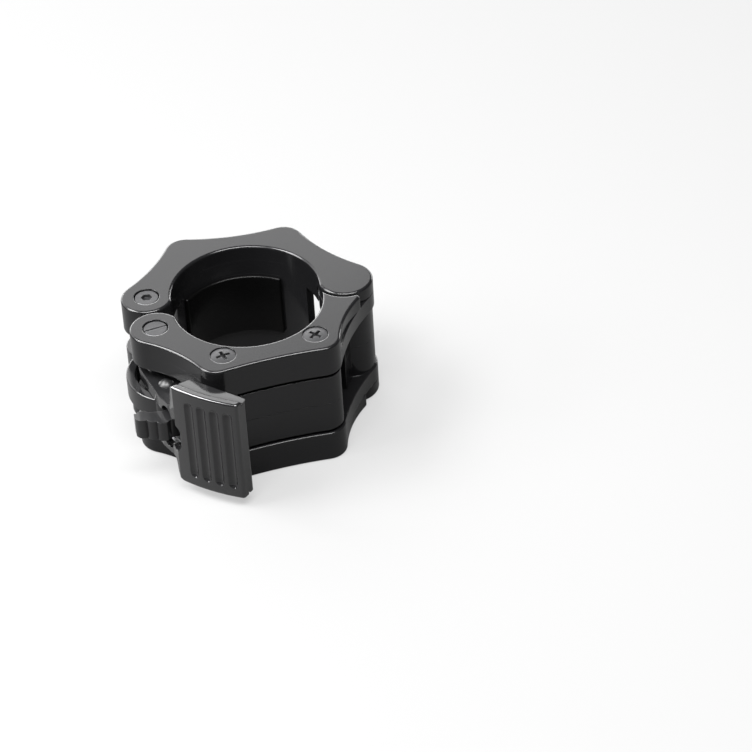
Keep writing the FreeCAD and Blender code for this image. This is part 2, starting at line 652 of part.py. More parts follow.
def web_loop():
    """Web from the front wall to the hinge barrel."""
    centre, bore = place("small_bore"), size("small_bore_radius")
    wall = size("small_wall_thickness")
    low = centre + toward(SMALL_WALL_ANGLES[1], bore)
    hinge = place("hinge")
    barrel = size("hinge_barrel_radius")
    points = [
        low,
        centre + toward(SMALL_WALL_ANGLES[1] - WEB_FOOT_ANGLE, bore + 2 * wall),
        hinge + toward(WEB_OUTER_ANGLE, barrel),
        hinge + toward(WEB_INNER_ANGLE, barrel),
    ]
    return polygon(points)


def build_small_half(name, top):
    """Half of the small jaw: one plate, and half of the wall, bosses and hinge barrel."""
    body = new_body(name)
    sign = 1 if top else -1
    nose = "(Sizes.hinge_nose_thickness + Sizes.end_play)"
    sketch = new_sketch(body, name + "_knuckle_outline", GAP if top else "-" + GAP)
    add_loop(sketch, knuckle_outline(), driven=True)
    pad(body, name + "_knuckle_layer", sketch, "Sizes.plate_thickness - " + nose, down=not top)
    sketch = new_sketch(body, name + "_outline", "%s - %s" % (HALF, nose) if top else "-%s + %s" % (HALF, nose))
    add_loop(sketch, small_outline(), driven=True)
    pad(body, name + "_outer_layer", sketch, nose, down=not top)
    round_edges(body, name + "_face_rounds", "plate_edge_round", flat_at(sign * half_width()))
    round_edges(body, name + "_inner_rounds", "inner_edge_round", flat_at(sign * half_gap()))
    centre, bore = place("small_bore"), size("small_bore_radius")
    loops = [
        ("wall", sector(centre, bore, bore + size("small_wall_thickness"), SMALL_WALL_ANGLES), GAP),
        ("front", core_loop(size("core_inset")), GAP + " - Sizes.wall_groove_height"),
        ("front_neck", core_loop(size("core_inset") + size("wall_groove_depth")), GAP),
        ("web", web_loop(), GAP + " - Sizes.end_play"),
    ]
    for part_name, loop, length in loops:
        sketch = new_sketch(body, "%s_%s_sketch" % (name, part_name))
        add_loop(sketch, loop)
        pad(body, "%s_%s" % (name, part_name), sketch, length, down=not top)
    sketch = new_sketch(body, name + "_boss_sketch")
    add_circle(sketch, "low_screw", "screw_boss_radius")
    pad(body, name + "_boss", sketch, GAP, down=not top)
    sketch = new_sketch(body, name + "_barrel_sketch")
    add_circle(sketch, "hinge", "hinge_barrel_radius")
    pad(body, name + "_barrel", sketch, GAP, down=not top)
    for number, lug in enumerate(lug_sectors(centre, bore, SMALL_LUG_ANGLES), start=1):
        sketch = new_sketch(body, "%s_lug_recess_%d_sketch" % (name, number))
        add_loop(sketch, lug)
        pocket(body, "%s_lug_recess_%d" % (name, number), sketch, "Sizes.pad_lug_height", both_ways=True)
    through_hole(body, name + "_hinge_hole", "hinge", "hinge_pin_radius", "running_gap")
    through_hole(body, name + "_lever_hole", "lever_pivot", "pivot_pin_radius")
    head_recess(body, name + "_lever_recess", "lever_pivot", top)
    for screw in ("low_screw", "side_screw"):
        if top:
            through_hole(body, "%s_%s_hole" % (name, screw), screw, "screw_clear_radius")
            sketch = new_sketch(body, "%s_%s_seat_sketch" % (name, screw), HALF)
            add_circle(sketch, screw, "screw_head_radius", "seat_gap")
            pocket(body, "%s_%s_seat" % (name, screw), sketch, "Sizes.screw_head_height + Sizes.screw_sink")
        else:
            sketch = new_sketch(body, "%s_%s_hole_sketch" % (name, screw))
            add_circle(sketch, screw, "screw_shank_radius")
            pocket(body, "%s_%s_hole" % (name, screw), sketch,
                   "Sizes.screw_length - %s + Sizes.screw_head_height + Sizes.screw_sink" % HALF)
    return body


def build_small_pad():
    """Thick rubber pad of the small jaw, round about the bar's axis inside and about the wall outside."""
    body = new_body("small_grip_pad")
    centre, bore, grip = place("small_bore"), size("small_bore_radius"), size("grip_radius")
    low, high = toward(SMALL_PAD_ANGLES[0], grip), toward(SMALL_PAD_ANGLES[1], grip)
    outer_low = centre + (low - centre).normalize() * bore
    outer_high = centre + (high - centre).normalize() * bore
    sketch = new_sketch(body, "small_pad_sketch")
    add_loop(sketch, [
        (AXIS, grip, low, high, True),
        (high, outer_high),
        (centre, bore, outer_high, outer_low, False),
        (outer_low, low),
    ])
    pad(body, "small_pad_body", sketch, "Sizes.small_pad_height", both_ways=True)
    for number, lug in enumerate(lug_sectors(centre, bore, SMALL_LUG_ANGLES), start=1):
        sketch = new_sketch(body, "small_pad_lug_%d_sketch" % number)
        add_loop(sketch, lug)
        pad(body, "small_pad_lug_%d" % number, sketch, "Sizes.pad_lug_height", both_ways=True)
    return body


def turned_screw(head_radius, head_height, dome, shank_radius, length):
    """Screw or rivet on the Z axis: its domed head starts at zero, and its shank ends below."""
    corners = [(head_radius, 0), (head_radius, -head_height)] if head_height else [(head_radius, 0)]
    corners += [(shank_radius, -head_height), (shank_radius, -head_height - length)]
    corners += [(0, -head_height - length), (0, dome)]
    points = [FreeCAD.Vector(across, 0, height) for across, height in corners]
    middle = FreeCAD.Vector(head_radius / 2, 0, dome * CROWN_SHARE)
    edges = [Part.Arc(points[-1], middle, points[0]).toShape()]
    edges += [Part.makeLine(first, second) for first, second in zip(points, points[1:])]
    return Part.Face(Part.Wire(edges)).revolve(AXIS, UP, FULL_ANGLE)


def build_jaw_screws():
    """Two cross-head screws, one node."""
    height = size("screw_dome")
    screw = turned_screw(size("screw_head_radius"), size("screw_head_height"), height,
                         size("screw_shank_radius"), size("screw_length"))
    long, wide = size("cross_length"), size("cross_width")
    deep = size("cross_depth")
    for length, width in ((long, wide), (wide, long)):
        corner = FreeCAD.Vector(-length / 2, -width / 2, height - deep)
        screw = screw.cut(Part.makeBox(length, width, deep + height, corner))
    solids = []
    for name, turn in (("low_screw", LOW_CROSS_ANGLE), ("side_screw", SIDE_CROSS_ANGLE)):
        copy = screw.copy()
        copy.rotate(AXIS, UP, turn)
        copy.translate(place(name) + UP * (half_width() - size("screw_sink")))
        solids.append(copy)
    feature = doc.addObject("Part::Feature", "jaw_screws")
    feature.Label = "jaw_screws"
    feature.Shape = Part.Compound(solids)
    feature.Placement = FreeCAD.Placement()
    return feature


# Pivot posts: a hollow post with a flat head below, closed by a screw with a flat head above

def build_post(name, centre_name):
    """Post from the lower face to just under the screw's head, bored for the screw."""
    body = new_body(name)
    sketch = new_sketch(body, name + "_head_sketch", "-%s + Sizes.pivot_head_sink" % HALF)
    add_circle(sketch, centre_name, "pivot_head_radius")
    pad(body, name + "_head", sketch, "Sizes.pivot_head_height")
    round_edges(body, name + "_head_rounds", "head_edge_round",
                flat_at(-half_width() + size("pivot_head_sink")))
    sketch = new_sketch(body, name + "_shaft_sketch",
                        "-%s + Sizes.pivot_head_sink + Sizes.pivot_head_height" % HALF)
    add_circle(sketch, centre_name, "pivot_pin_radius")
    pad(body, name + "_shaft", sketch,
        "Sizes.collar_width - 2 * Sizes.pivot_head_sink - 2 * Sizes.pivot_head_height")
    sketch = new_sketch(body, name + "_bore_sketch", HALF)
    add_circle(sketch, centre_name, "pivot_screw_radius")
    pocket(body, name + "_bore", sketch,
           "Sizes.pivot_screw_length + Sizes.pivot_head_height + Sizes.pivot_head_sink")
    return body


def build_pivot_screw(name, centre_name, recess):
    """Flat-headed screw in the top of a post, with a hexagon recess or a slot."""
    body = new_body(name)
    sketch = new_sketch(body, name + "_head_sketch", "%s - Sizes.pivot_head_sink" % HALF)
    add_circle(sketch, centre_name, "pivot_head_radius")
    pad(body, name + "_head", sketch, "Sizes.pivot_head_height", down=True)
    round_edges(body, name + "_head_rounds", "head_edge_round",
                flat_at(half_width() - size("pivot_head_sink")))
    sketch = new_sketch(body, name + "_shank_sketch",
                        "%s - Sizes.pivot_head_sink - Sizes.pivot_head_height" % HALF)
    add_circle(sketch, centre_name, "pivot_screw_radius")
    pad(body, name + "_shank", sketch, "Sizes.pivot_screw_length", down=True)
    sketch = new_sketch(body, name + "_recess_sketch", HALF)
    centre = place(centre_name)
    if recess == "hexagon":
        corner = size("socket_width") / math.sqrt(3)
        points = [centre + toward(60 * step, corner) for step in range(6)]
        depth = "Sizes.socket_depth"
    else:
        half = size("slot_width") / 2
        reach = size("pivot_head_radius") + size("overrun")
        along, across = toward(LEVER_SLOT_ANGLE), toward(LEVER_SLOT_ANGLE + QUARTER_ANGLE)
        points = [centre + along * reach * a + across * half * b for a, b in ((1, 1), (-1, 1), (-1, -1), (1, -1))]
        depth = "Sizes.slot_depth"
    add_loop(sketch, polygon(points))
    pocket(body, name + "_recess", sketch, "%s + Sizes.pivot_head_sink" % depth)
    return body


# Link: a barrel on the link pivot and a bowed strap that passes outside the lever's pivot

def build_link():
    """Barrel with an open bore, strap and lower eye."""
    body = new_body("link")
    sketch = new_sketch(body, "link_back_sketch")
    add_circle(sketch, "link_pivot", "link_back_radius")
    pad(body, "link_back", sketch, "Sizes.strap_width", both_ways=True)
    bow = size("strap_bow_radius")
    sketch = new_sketch(body, "link_strap_sketch")
    centre = place("strap_bow")
    span = (math.degrees(heading(place("link_pivot") - centre)),
            math.degrees(heading(place("toggle") - centre)) + FULL_ANGLE)
    add_loop(sketch, sector(centre, bow - size("strap_thickness"), bow, span))
    pad(body, "link_strap", sketch, "Sizes.strap_width", both_ways=True)
    round_edges(body, "link_rounds", "link_edge_round",
                flat_at(size("strap_width") / 2, -size("strap_width") / 2))
    sketch = new_sketch(body, "link_eye_sketch")
    add_circle(sketch, "toggle", "link_eye_radius")
    pad(body, "link_eye", sketch, "Sizes.strap_width", both_ways=True)
    sketch = new_sketch(body, "link_barrel_sketch")
    add_circle(sketch, "link_pivot", "link_hub_radius")
    pad(body, "link_barrel", sketch, "2 * %s - 2 * Sizes.end_play" % GAP, both_ways=True)
    through_hole(body, "link_bore", "link_pivot", "pivot_pin_radius", "open_pivot_gap")
    through_hole(body, "link_eye_hole", "toggle", "toggle_pin_radius", "running_gap")
    return body


def build_toggle_pin():
    """Pin between link and lever, with a low domed head on the upper arm."""
    pin = turned_screw(size("toggle_head_radius"), 0.0, size("toggle_head_height"),
                       size("toggle_pin_radius"),
                       size("upper_arm_outer") + half_gap() - size("end_play"))
    feature = doc.addObject("Part::Feature", "toggle_pin")
    feature.Label = "toggle_pin"
    feature.Shape = pin
    seat = place("toggle") + UP * size("upper_arm_outer")
    feature.Placement = FreeCAD.Placement(seat, FreeCAD.Rotation())
    return feature


# Lever: hub, two arms of unlike depth, and a hollow thumb paddle that spans the plates

def tangent_point(centre, radius, point, side):
    """Where a line from a point touches a circle, on its left seen from the circle for side 1."""
    away = point - centre
    spread = math.acos(radius / away.Length)
    return centre + toward(math.degrees(heading(away) + side * spread), radius)


def thumb_face():
    """Arc of the thumb face: its centre, radius, and the headings of its two ends in degrees."""
    arc = Part.Arc(place("paddle_root"), place("paddle_crown"), place("paddle_tip")).toShape().Curve
    centre = FreeCAD.Vector(arc.Center)
    ends = [math.degrees(heading(place(name) - centre)) for name in ("paddle_root", "paddle_tip")]
    return centre, arc.Radius, ends


def face_angle(ends, share):
    """Heading of a place on the thumb face, from a share of its length."""
    return ends[0] + share * (ends[1] - ends[0])


def lever_loop():
    """Lever seen from above."""
    hub, radius = place("lever_pivot"), size("lever_hub_radius")
    bend, inner = place("arm_outer_bend"), place("arm_inner")
    outer_start = tangent_point(hub, radius, bend, -1)
    inner_start = tangent_point(hub, radius, inner, 1)
    centre, face_radius, _ = thumb_face()
    outer = [outer_start, bend, place("arm_outer_end"), place("paddle_root")]
    back = [place(name) for name in ("paddle_tip", "paddle_heel", "paddle_back", "paddle_peak")]
    back += [inner, inner_start]
    loop = [(hub, radius, inner_start, outer_start, True)]
    loop += list(zip(outer, outer[1:]))
    loop.append((centre, face_radius, outer[-1], back[0], True))
    loop += list(zip(back, back[1:]))
    return loop


def arm_sketch(body, name, outward=0.0):
    """Sketch along the arms: X from the lever's pivot towards the paddle, Y up along the bar."""
    sketch = new_sketch(body, name, role="XZ_Plane")
    origin = place("lever_pivot") + toward(ARM_ANGLE - QUARTER_ANGLE, outward)
    turn = FreeCAD.Rotation(FreeCAD.Vector(0, 1, 0), ARM_ANGLE)
    sketch.AttachmentOffset = FreeCAD.Placement(FreeCAD.Vector(origin.x, 0, -origin.y), turn)
    return sketch


def shoulder_loop(name, arm_face, side):
    """What is cut away beside an arm. It ends in the curve from the arm to the full width."""
    fillet, outer_round = size(name + "_fillet"), size(name + "_round")
    low_wall, wall = size(name + "_foot"), size(name + "_wall")
    top, end = size("paddle_width") / 2, wall + outer_round
    back = -size("lever_hub_radius") - size("overrun")
    high = top + size("overrun")

    def at(along, height):
        return FreeCAD.Vector(along, side * height, 0)

    foot, rise = at(low_wall - fillet, arm_face), at(low_wall, arm_face + fillet)
    knee, crest = at(wall, top - outer_round), at(end, top)
    loop = [
        (at(back, arm_face), foot),
        (at(low_wall - fillet, arm_face + fillet), fillet, foot, rise, side > 0),
    ]
    if (knee - rise).Length > SMOOTH:
        loop.append((rise, knee))
    loop += [
        (at(end, top - outer_round), outer_round, knee, crest, side < 0),
        (crest, at(end, high)),
        (at(end, high), at(back, high)),
        (at(back, high), at(back, arm_face)),
    ]
    return loop


def slot_loop():
    """Gap between the arms, with rounded inner corners."""
    low, high = -size("lower_arm_inner"), size("upper_arm_inner")
    end, corner = size("slot_end"), size("slot_round")
    back = -size("lever_hub_radius") - size("overrun")

    def at(along, height):
        return FreeCAD.Vector(along, height, 0)

    return [
        (at(back, low), at(end - corner, low)),
        (at(end - corner, low + corner), corner, at(end - corner, low), at(end, low + corner), True),
        (at(end, low + corner), at(end, high - corner)),
        (at(end - corner, high - corner), corner, at(end, high - corner), at(end - corner, high), True),
        (at(end - corner, high), at(back, high)),
        (at(back, high), at(back, low)),
    ]


def scoop_loop(radius, reach):
    """Half of a rod with round ends, beside the Y axis of its sketch."""
    low, high = FreeCAD.Vector(0, -reach, 0), FreeCAD.Vector(0, reach, 0)
    side, tip = FreeCAD.Vector(radius, 0, 0), FreeCAD.Vector(0, radius, 0)
    return [
        (low, radius, low - tip, low + side, True),
        (low + side, high + side),
        (high, radius, high + side, high + tip, True),
        (high + tip, low - tip),
    ]


def cut_ends(body, name, loop, height, depth):
    """The same pocket at both ends of the width, outward from a height."""
    for end, sign in (("upper", ""), ("lower", "-")):
        sketch = new_sketch(body, "%s_%s_sketch" % (name, end), "%s(%s)" % (sign, height))
        add_loop(sketch, loop)
        pocket(body, "%s_%s" % (name, end), sketch, depth, up=not sign)


def build_lever():
    """Lever with its arms, shoulders and hollow paddle."""
    body = new_body("lever")
    sketch = new_sketch(body, "lever_plan")
    add_loop(sketch, lever_loop())
    pad(body, "lever_block", sketch, "Sizes.paddle_width", both_ways=True)
    round_edges(body, "tip_rounds", "tip_edge_round", upright_at("paddle_tip", "paddle_heel"))
    centre, radius, ends = thumb_face()
    skin = radius - size("paddle_skin")
    face_ends = flat_at(size("paddle_width") / 2, -size("paddle_width") / 2)
    round_edges(body, "face_rounds", "face_edge_round",
                lambda edge: face_ends(edge) and has_radius(edge, radius))
    reach = math.degrees(size("overrun") / radius)
    whole = (ends[0], ends[1] + reach)
    cut_ends(body, "side_wall_step", sector(centre, skin - size("inset_reach"), skin, whole),
             "Sizes.paddle_width / 2 - Sizes.side_wall_inset", "Sizes.overrun")
    wide = "2 * Sizes.paddle_width"
    sketch = arm_sketch(body, "shoulder_sketch")
    add_loop(sketch, shoulder_loop("upper_shoulder", size("upper_arm_outer"), 1))
    add_loop(sketch, shoulder_loop("lower_shoulder", half_gap() - size("end_play"), -1))
    pocket(body, "shoulders", sketch, wide, both_ways=True)
    sketch = arm_sketch(body, "arm_gap_sketch")
    add_loop(sketch, slot_loop())
    pocket(body, "arm_gap", sketch, wide, both_ways=True)
    sketch = new_sketch(body, "hub_boss_sketch", "Sizes.upper_arm_outer")
    add_circle(sketch, "lever_pivot", "hub_boss_radius")
    pad(body, "hub_boss", sketch, "%s - Sizes.end_play - Sizes.upper_arm_outer" % GAP)
    for name, height in (("upper", size("upper_arm_inner")), ("lower", -size("lower_arm_inner"))):
        sketch = arm_sketch(body, name + "_notch_sketch", size("notch_floor"))
        spot = FreeCAD.Vector(size("notch_along"), height, 0)
        number = sketch.addGeometry(Part.Circle(spot, UP, size("notch_radius")), False)
        bind(sketch, "Radius", number, 0, size("notch_radius"), "Sizes.notch_radius")
        pocket(body, name + "_notch", sketch, "Sizes.notch_floor", up=True)
    clear = [place(name) for name in ("paddle_peak", "plate_clear", "plate_inside")]
    cut_ends(body, "plate_clearance", polygon(clear), GAP + " - Sizes.end_play", "Sizes.paddle_width / 2")
    span = [face_angle(ends, share) for share in HOLLOW_SHARES]
    sketch = new_sketch(body, "paddle_hollow_sketch")
    add_loop(sketch, sector(centre, skin - size("hollow_reach"), skin, span))
    pocket(body, "paddle_hollow", sketch,
           "Sizes.paddle_width - 2 * Sizes.side_wall_inset - 2 * Sizes.side_wall_thickness", both_ways=True)
    cut_ends(body, "face_line", sector(centre, skin - size("edge_line_width"), skin, whole),
             "Sizes.paddle_width / 2 - Sizes.edge_line_depth", "Sizes.overrun")
    depth, half = size("groove_depth"), size("groove_width") / 2
    scoop = (half ** 2 + depth ** 2) / (2 * depth)
    for number, share in enumerate(GROOVE_SHARES, start=1):
        middle = centre + toward(face_angle(ends, share), radius + scoop - depth)
        sketch = new_sketch(body, "face_groove_%d_sketch" % number, role="XZ_Plane")
        sketch.AttachmentOffset = FreeCAD.Placement(FreeCAD.Vector(middle.x, 0, -middle.y), FreeCAD.Rotation())
        add_loop(sketch, scoop_loop(scoop, size("groove_length") / 2 - half))
        groove = body.newObject("PartDesign::Groove", "face_groove_%d" % number)
        groove.Profile = sketch
        groove.ReferenceAxis = (sketch, ["V_Axis"])
        groove.Angle = FULL_ANGLE
    through_hole(body, "lever_bore", "lever_pivot", "pivot_pin_radius", "running_gap")
    through_hole(body, "lever_toggle_hole", "toggle", "toggle_pin_radius")
    through_hole(body, "lever_catch_hole", "catch_pivot", "catch_pin_radius")
    return body


# Catch: a thumb tab on its own small pin between the lever's arms, with a spring below it

def build_catch():
    """Hub, ribbed tab and short nose."""
    body = new_body("catch")
    sketch = new_sketch(body, "catch_hub_sketch")
    add_circle(sketch, "catch_pivot", "catch_hub_radius")
    pad(body, "catch_hub", sketch, "Sizes.catch_width", both_ways=True)
    hub, radius = place("catch_pivot"), size("catch_hub_radius")
    top, low, root, elbow = [place(name) for name in ("tab_top", "tab_low", "tab_root", "tab_elbow")]
    points = [top, low, root, tangent_point(hub, radius, root, 1), tangent_point(hub, radius, elbow, -1), elbow]
    sketch = new_sketch(body, "catch_tab_sketch")
    add_loop(sketch, polygon(points))
    pad(body, "catch_tab", sketch, "Sizes.catch_width", both_ways=True)
    tip, half = place("nose_tip"), size("nose_width") / 2
    along = (tip - hub).normalize()
    across = FreeCAD.Vector(-along.y, along.x, 0)
    sketch = new_sketch(body, "catch_nose_sketch")
    add_loop(sketch, polygon([hub - across * half, tip - across * half, tip + across * half, hub + across * half]))
    pad(body, "catch_nose", sketch, "Sizes.catch_width", both_ways=True)
    along = (root - low).normalize()
    outward = FreeCAD.Vector(along.y, -along.x, 0)
    half, height = size("tab_rib_width") / 2, size("tab_rib_height")
    radius = (half ** 2 + height ** 2) / (2 * height)
    for number, share in enumerate(RIB_SHARES, start=1):
        middle = low + (root - low) * share - outward * (radius - height)
        sketch = new_sketch(body, "tab_rib_%d_sketch" % number)
        sketch.addGeometry(Part.Circle(middle, UP, radius), False)
        pad(body, "tab_rib_%d" % number, sketch, "Sizes.catch_width", both_ways=True)
    through_hole(body, "catch_bore", "catch_pivot", "catch_pin_radius", "running_gap")
    return body


def build_catch_pin():
    """Plain pin held by both arms of the lever."""
    body = new_body("catch_pin")
    sketch = new_sketch(body, "catch_pin_sketch", "Sizes.upper_arm_outer")
    add_circle(sketch, "catch_pivot", "catch_pin_radius")
    pad(body, "catch_pin_body", sketch, "Sizes.upper_arm_outer + %s - Sizes.end_play" % GAP, down=True)
    return body


def build_catch_spring():
    """Coil around the catch's pin with two straight legs."""
    wire, coil = size("spring_wire_radius"), size("spring_coil_radius")
    pitch = size("spring_pitch")
    height = pitch * SPRING_TURNS
    leg = size("spring_leg")
    start = FreeCAD.Vector(coil, 0, 0)

    def on_coil(quarters):
        return toward(QUARTER_ANGLE * quarters, coil) + UP * pitch * quarters / 4

    edges = [Part.makeLine(start - FreeCAD.Vector(0, leg, 0), start)]
    for quarter in range(4 * SPRING_TURNS):
        edges.append(Part.Arc(on_coil(quarter), on_coil(quarter + 0.5), on_coil(quarter + 1)).toShape())
    end = on_coil(4 * SPRING_TURNS)
    edges.append(Part.makeLine(end, end + FreeCAD.Vector(0, leg, 0)))
    section = Part.Wire([Part.makeCircle(wire, edges[0].Vertexes[0].Point, FreeCAD.Vector(0, 1, 0))])
    shape = Part.Wire(edges).makePipeShell([section], True, False)
    turns = [on_coil(step / 8) for step in range(32 * SPRING_TURNS + 1)]
    least = min((first - second).Length for index, first in enumerate(turns) for second in turns[index + 24:])
    print("spring: least gap between turns %.2f mm" % (least - 2 * wire))
    feature = doc.addObject("Part::Feature", "catch_spring")
    feature.Label = "catch_spring"
    feature.Shape = shape
    base = place("catch_pivot") - UP * size("spring_base")
    feature.Placement = FreeCAD.Placement(base, FreeCAD.Rotation(UP, ARM_ANGLE - QUARTER_ANGLE))
    return feature


nodes = [
    build_main_frame(),
    build_main_pad(),
    build_hinge_pin(),
    build_small_half("small_jaw_upper_half", True),
    build_small_half("small_jaw_lower_half", False),
    build_jaw_screws(),
    build_small_pad(),
    build_post("link_pin_post", "link_pivot"),
    build_pivot_screw("link_pin_screw", "link_pivot", "hexagon"),
    build_post("lever_pin_post", "lever_pivot"),
    build_pivot_screw("lever_pin_screw", "lever_pivot", "slot"),
    build_link(),
    build_lever(),
    build_toggle_pin(),
    build_catch(),
    build_catch_pin(),
    build_catch_spring(),
]
doc.recompute()

# Check every object, then write one file for each node
faults = []
for item in doc.Objects:
    if {"Invalid", "Error"} & set(item.State):
        faults.append("%s: %s" % (item.Name, ", ".join(item.State)))
for node in nodes:
    if node.Shape.isNull() or not node.Shape.isValid():
        faults.append("%s: no valid shape" % node.Label)
    expected = 2 if node.Label == "jaw_screws" else 1
    if len(node.Shape.Solids) != expected:
        faults.append("%s: %d solids" % (node.Label, len(node.Shape.Solids)))
if faults:
    raise RuntimeError("; ".join(faults))

os.makedirs("parts", exist_ok=True)
for node in nodes:
    node.Shape.exportStep("parts/%s.step" % node.Label)
    box = node.Shape.BoundBox
    print("%-22s %8.1f mm3  x %.1f..%.1f  y %.1f..%.1f  z %.1f..%.1f" % (
        node.Label, node.Shape.Volume, box.XMin, box.XMax, box.YMin, box.YMax, box.ZMin, box.ZMax))
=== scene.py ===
import math

import bpy
import numpy as np
from mathutils import Matrix, Vector


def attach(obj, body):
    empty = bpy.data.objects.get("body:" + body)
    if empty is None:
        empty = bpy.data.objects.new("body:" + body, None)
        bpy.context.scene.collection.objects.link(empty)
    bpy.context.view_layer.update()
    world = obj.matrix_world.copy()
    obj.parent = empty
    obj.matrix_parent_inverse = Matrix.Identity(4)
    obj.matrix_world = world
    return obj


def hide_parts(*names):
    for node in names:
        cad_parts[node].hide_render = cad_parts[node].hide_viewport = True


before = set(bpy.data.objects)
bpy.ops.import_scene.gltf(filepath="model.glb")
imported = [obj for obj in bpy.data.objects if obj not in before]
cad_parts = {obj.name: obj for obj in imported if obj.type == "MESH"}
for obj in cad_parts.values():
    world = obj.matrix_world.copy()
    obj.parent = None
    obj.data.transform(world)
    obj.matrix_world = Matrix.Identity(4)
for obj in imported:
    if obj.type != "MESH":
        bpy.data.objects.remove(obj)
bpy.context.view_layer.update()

MM = 0.001

# Camera: where the photograph was taken from, worked out from the collar's own width
CAMERA_PLACE = (0.04493, -0.95117, 0.72711)
CAMERA_TILT = 51.946
CAMERA_ROLL = -3.468
CAMERA_LENS = 158.03
CAMERA_SENSOR = 36.0
CAMERA_CLIP_START = 0.05

# Surroundings
FLOOR_HEIGHT = -0.025
FLOOR_REACH = 6.0
FLOOR_SHADE = 0.125
FLOOR_GLOW = 0.5
FLOOR_ROUGHNESS = 0.8
FLOOR_SPECULAR = 0.1
WORLD_STRENGTH = 0.06

# Name, place, point that it faces, width, height and watts of each soft box
LIGHTS = (
    ("back_wall_light", (-1.02, 1.4, 0.95), (-0.05, 0, 0), 2.6, 1.2, 28.0),
    ("low_back_panel", (0.0, 1.2, 0.22), (0, 0, 0.02), 2.8, 0.36, 28.0),
    ("front_rim_box", (0.05, -0.33, 0.84), (0, 0, 0), 0.8, 0.28, 18.0),
    ("left_rim_box", (-0.52, 0.0, 0.74), (0, 0, 0), 0.6, 0.3, 15.0),
    ("left_box", (-0.80, -0.10, 0.46), (0, 0, 0), 0.4, 0.25, 6.0),
)

# Finishes
WAVE_SCALE = 90.0
MOTTLE_SCALE = 38.0
DENT_DEPTH = 0.0001
COAT_ROUGHNESS = 0.08
LINE_HEIGHT = 2.5
# Painted shade in grooves: the open shares between which the coat fades, and the samples that measure them
SHADE_CLOSED_SHARE = 0.77
SHADE_OPEN_SHARE = 0.97
SHADE_SAMPLES = 8


# Node helpers

def node(tree, kind, **settings):
    """New shader node with its settings."""
    item = tree.nodes.new(kind)
    for name, value in settings.items():
        setattr(item, name, value)
    return item


def new_group(name, inputs, outputs):
    """Shader node group whose sockets are numbers. Returns the tree and its two end nodes.

    The inputs are names with their first values, and the outputs are names.
    """
    tree = bpy.data.node_groups.new(name, "ShaderNodeTree")
    number = "NodeSocketFloat"
    for socket_name, value in inputs.items():
        socket = tree.interface.new_socket(name=socket_name, in_out="INPUT", socket_type=number)
        socket.default_value = value
    for socket_name in outputs:
        tree.interface.new_socket(name=socket_name, in_out="OUTPUT", socket_type=number)
    return tree, tree.nodes.new("NodeGroupInput"), tree.nodes.new("NodeGroupOutput")


def math_node(tree, operation, first, second=None, third=None, clamp=False):
    """Math node whose operands are sockets or numbers. Returns its output."""
    item = node(tree, "ShaderNodeMath", operation=operation, use_clamp=clamp)
    for index, operand in enumerate((first, second, third)):
        if operand is None:
            continue
        if isinstance(operand, (int, float)):
            item.inputs[index].default_value = operand
        else:
            tree.links.new(operand, item.inputs[index])
    return item.outputs[0]


def noise(tree, place, scale, detail=2.0, roughness=0.5):
    """Noise at a scale, from a position socket."""
    item = node(tree, "ShaderNodeTexNoise")
    tree.links.new(place, item.inputs["Vector"])
    if isinstance(scale, (int, float)):
        item.inputs["Scale"].default_value = scale
    else:
        tree.links.new(scale, item.inputs["Scale"])
    item.inputs["Detail"].default_value = detail
    item.inputs["Roughness"].default_value = roughness
    return item.outputs["Fac"]


def make_grain_group():
    """Fine moulded grain: small pits over slow waves, with a roughness that drifts and faint flow marks.

    Height = pits * pit depth + waves * waviness. Roughness = its own value + (flow marks - 0.5) * drift.
    """
    tree, start, end = new_group(
        "moulded_grain",
        {"Grain": 2600.0, "Pit Depth": 0.4, "Waviness": 0.3, "Roughness": 0.35, "Drift": 0.08},
        ("Height", "Roughness", "Mottle"))
    place = node(tree, "ShaderNodeTexCoord").outputs["Object"]
    pits = noise(tree, place, start.outputs["Grain"], detail=3.0, roughness=0.6)
    waves = noise(tree, place, WAVE_SCALE)
    slow = noise(tree, place, MOTTLE_SCALE, detail=3.0, roughness=0.55)
    height = math_node(tree, "MULTIPLY", pits, start.outputs["Pit Depth"])
    height = math_node(tree, "MULTIPLY_ADD", waves, start.outputs["Waviness"], height)
    offset = math_node(tree, "SUBTRACT", slow, 0.5)
    rough = math_node(tree, "MULTIPLY_ADD", offset, start.outputs["Drift"], start.outputs["Roughness"])
    tree.links.new(height, end.inputs["Height"])
    tree.links.new(rough, end.inputs["Roughness"])
    tree.links.new(slow, end.inputs["Mottle"])
    return tree


def make_parting_group():
    """Parting line: a thin raised line at a given height above and below the middle.

    Line = 1 - (distance from that height) / half width, and never less than 0.
    """
    tree, start, end = new_group("parting_line", {"At": 0.019, "Half Width": 0.00012}, ("Line",))
    place = node(tree, "ShaderNodeTexCoord").outputs["Object"]
    split = node(tree, "ShaderNodeSeparateXYZ")
    tree.links.new(place, split.inputs[0])
    away = math_node(tree, "SUBTRACT", math_node(tree, "ABSOLUTE", split.outputs["Z"]), start.outputs["At"])
    share = math_node(tree, "DIVIDE", math_node(tree, "ABSOLUTE", away), start.outputs["Half Width"])
    line = math_node(tree, "SUBTRACT", 1.0, share, clamp=True)
    tree.links.new(line, end.inputs["Line"])
    return tree


GRAIN = make_grain_group()
PARTING = make_parting_group()


def new_material(name):
    """Material with nodes. Returns it with its tree and its shader."""
    material = bpy.data.materials.new(name)
    material.use_nodes = True
    return material, material.node_tree, material.node_tree.nodes["Principled BSDF"]


